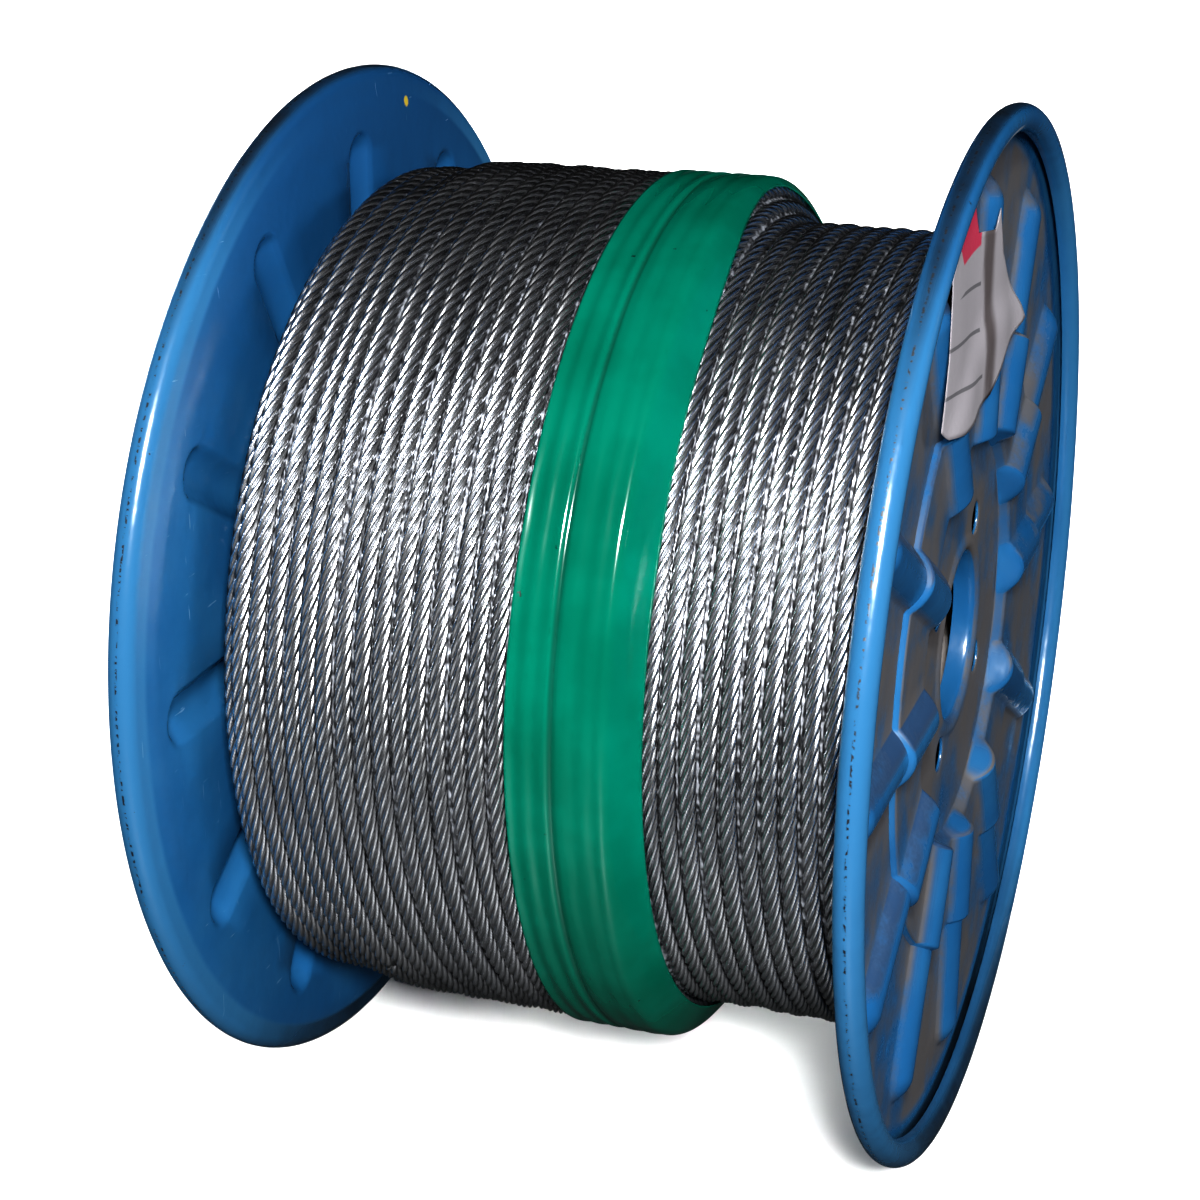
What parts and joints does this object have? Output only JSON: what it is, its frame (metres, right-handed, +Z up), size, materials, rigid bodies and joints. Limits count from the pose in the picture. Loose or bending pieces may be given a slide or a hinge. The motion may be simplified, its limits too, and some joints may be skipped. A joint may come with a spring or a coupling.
{
  "type": "reel of wire rope",
  "caption": "Full reel of galvanised wire rope: two pressed steel flanges with curled rims on a barrel, rope wound in layers, one tape band and a paper label.",
  "frame": {"origin": "centre of the reel, on its axis and midway between the two flanges", "axes": "+X along the reel's axis towards the flange with the label, +Z up, the reel standing on its two rims"},
  "size_m": [0.1924, 0.2902, 0.2902],
  "materials": {
    "blue_paint": "gloss enamel, dusty and chipped at the rims",
    "barrel_steel": "mill",
    "galvanised_rope": "bright zinc wires",
    "green_tape": "glossy adhesive tape",
    "label_paper": "uncoated paper"
  },
  "bodies": {
    "root": {"left_flange": "blue_paint", "right_flange": "blue_paint", "barrel": "barrel_steel", "rope_winding": "galvanised_rope", "tape_band": "green_tape", "paper_label": "label_paper"}
  },
  "joints": []
}
